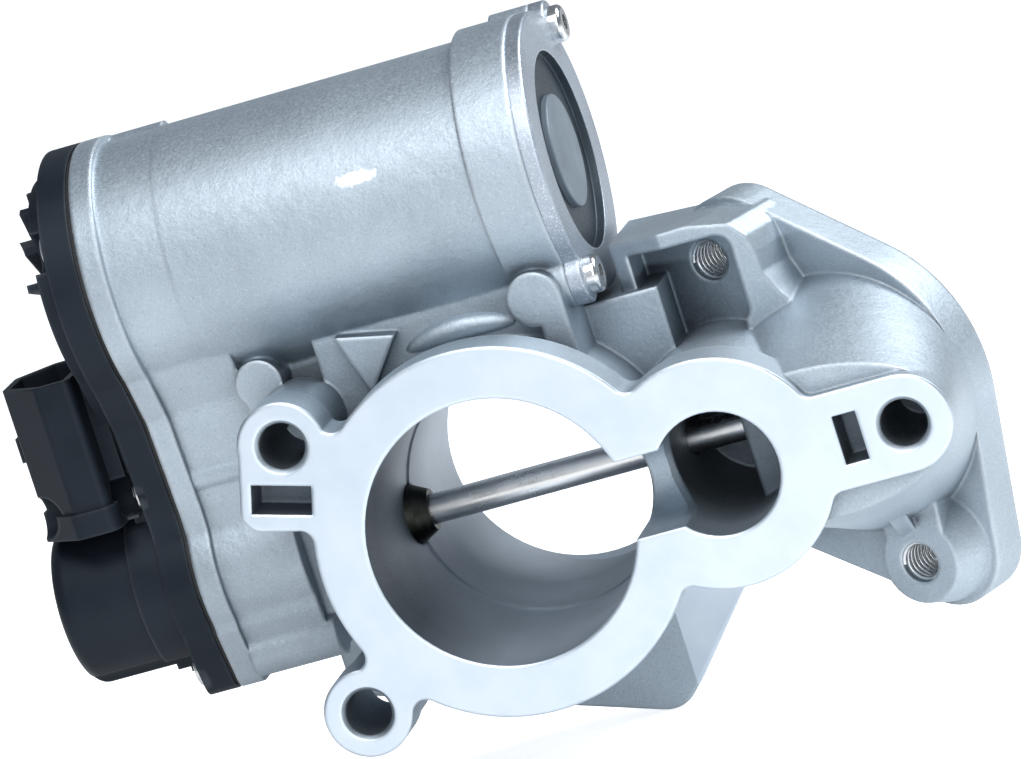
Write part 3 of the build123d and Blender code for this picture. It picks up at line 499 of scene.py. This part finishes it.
# Gear cover
# Near-black glass-filled plastic, moulded in one piece with the connector's
# socket. It has a satin mould texture and is rubbed paler along its edges.
plastic, tree, shader, place = start("black_plastic", Specular_IOR_Level=0.26,
                                     Specular_Tint=(0.74, 0.88, 1.0, 1.0))
skin = use(tree, grain, Vector=place, Scale=1900.0)
clouds = use(tree, cloud, Vector=place, Scale=60.0)
black = blend(tree, clouds.outputs[0], (0.008, 0.011, 0.017), (0.016, 0.020, 0.028))
rubbed = both(tree, convex_edges(tree, 0.8 * mm, 0.45, 0.85), clouds.outputs[0])
tree.links.new(blend(tree, rubbed, black, (0.06, 0.068, 0.08)), shader.inputs["Base Color"])
tree.links.new(span(tree, clouds.outputs[0], 0.0, 1.0, 0.36, 0.52), shader.inputs["Roughness"])
rounded_edges = put(tree, "ShaderNodeBevel", {"Radius": 0.4 * mm}, samples=6)
bump(tree, shader, skin.outputs["Height"], 0.35, 0.05 * mm, rounded_edges.outputs[0])
dress(plastic, "gear_cover")


# Valve stem, head and seat
# A ground stainless stem with a turned head pressed on its end, which closes
# a hard seat ring in the housing. The stem slides in a dark sintered bush.
along_x = (60.0, 4200.0, 4200.0)
round_x = (5200.0, 300.0, 300.0)


def steel(name, low, high, rough_low, rough_high, lines_across):
    """Turned, ground or drawn metal: fine tool lines over a slow variation."""
    made, tree, shader, place = start(name, metallic=1.0)
    tool = use(tree, brush, Vector=place, Across=lines_across)
    clouds = use(tree, cloud, Vector=place, Scale=110.0)
    tone = sums(tree, "MULTIPLY", sums(tree, "ADD", tool.outputs[0], clouds.outputs[0]), 0.5)
    tree.links.new(blend(tree, span(tree, tone, 0.3, 0.7), low, high), shader.inputs["Base Color"])
    tree.links.new(span(tree, clouds.outputs[0], 0.0, 1.0, rough_low, rough_high),
                   shader.inputs["Roughness"])
    bump(tree, shader, tool.outputs[0], 0.3, 0.01 * mm)
    return made


stem_steel = steel("stem_steel", (0.80, 0.79, 0.78), (0.95, 0.94, 0.93), 0.24, 0.34, along_x)
seat_steel = steel("seat_steel", (0.42, 0.41, 0.40), (0.66, 0.65, 0.63), 0.24, 0.38, round_x)
dark_steel = steel("dark_steel", (0.020, 0.021, 0.018), (0.060, 0.060, 0.052), 0.30, 0.48, round_x)
dress(stem_steel, "valve_stem")
dress(seat_steel, "valve_head", "seat_ring")
dress(dark_steel, "stem_bush")


# Cam drive
# The output gear is moulded with a barrel cam, whose slots push two hardened
# rollers on a cross pin along a ground guide sleeve. A torsion spring of drawn
# wire closes the valve.
gear_plastic = moulded("gear_plastic", (0.60, 0.58, 0.50), (0.74, 0.72, 0.65), 0.38, 0.52)
ground_steel = steel("ground_steel", (0.48, 0.48, 0.49), (0.68, 0.68, 0.70), 0.22, 0.34, round_x)
spring_steel = steel("spring_steel", (0.28, 0.28, 0.30), (0.46, 0.46, 0.48), 0.28, 0.40, along_x)
dress(gear_plastic, "output_gear")
dress(ground_steel, "cross_pin", "cam_rollers", "guide_sleeve")
dress(spring_steel, "return_spring")


# Gear train
# A hobbed steel pinion on the motor's shaft drives two moulded gears, which
# turn on ground pins pressed into the housing.
dress(ground_steel, "motor_pinion", "reduction_pin", "idler_pin")
dress(gear_plastic, "reduction_gear", "idler_gear")


# Motor
# A brushed motor: a laminated armature wound with enamelled copper, between
# two ferrite magnets in a drawn and zinc-plated can. Its carbon brushes sit in
# a brown moulded holder, and a wave washer takes up the shaft's play.
laminations = steel("lamination_steel", (0.20, 0.20, 0.21), (0.46, 0.46, 0.48), 0.34, 0.5,
                    (9000.0, 60.0, 60.0))
copper = steel("copper_wire", (0.42, 0.17, 0.07), (0.78, 0.38, 0.19), 0.28, 0.42, along_x)
zinc_steel = steel("zinc_steel", (0.50, 0.52, 0.55), (0.70, 0.72, 0.75), 0.30, 0.42, along_x)
ferrite = moulded("ferrite", (0.03, 0.03, 0.035), (0.07, 0.07, 0.078), 0.5, 0.7)
brown_plastic = moulded("brown_plastic", (0.05, 0.025, 0.012), (0.10, 0.055, 0.03), 0.4, 0.55)
carbon = moulded("carbon", (0.02, 0.02, 0.021), (0.05, 0.05, 0.052), 0.5, 0.7)
dress(ground_steel, "motor_shaft", "front_bearing", "rear_bearing")
dress(laminations, "armature_core")
dress(copper, "armature_windings", "commutator")
dress(zinc_steel, "motor_can")
dress(ferrite, "field_magnets")
dress(brown_plastic, "brush_holder")
dress(carbon, "carbon_brushes")
dress(spring_steel, "wave_washer")


# Sensor and connector
# A ring magnet on the output gear turns in front of a green circuit board,
# and tinned brass pins bring the wiring out into the cover's socket.
board_green = moulded("board_green", (0.01, 0.09, 0.035), (0.02, 0.14, 0.06), 0.25, 0.4)
tinned_brass = steel("tinned_brass", (0.60, 0.57, 0.50), (0.80, 0.78, 0.72), 0.24, 0.34,
                     (4200.0, 4200.0, 60.0))
dress(ferrite, "sensor_magnet")
dress(board_green, "sensor_board")
dress(tinned_brass, "connector_pins")


# Seals
# Black rubber, moulded: a lip seal on the stem, a ring under the end cap and
# a flat gasket under the gear cover.
rubber = moulded("seal_rubber", (0.012, 0.012, 0.013), (0.03, 0.03, 0.032), 0.55, 0.75)
dress(rubber, "stem_seal", "end_cap_seal", "cover_gasket")


# Screws
# Bright zinc-plated steel, seven of them in the gear cover's rim and two in
# the motor's end cap.
zinc = steel("zinc_screws", (0.62, 0.63, 0.64), (0.88, 0.89, 0.90), 0.16, 0.30, round_x)
dress(zinc, "cover_screws", "end_cap_screws")


# Sizes of the dressed model
low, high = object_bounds()
bpy.context.scene.view_settings.view_transform = "Standard"
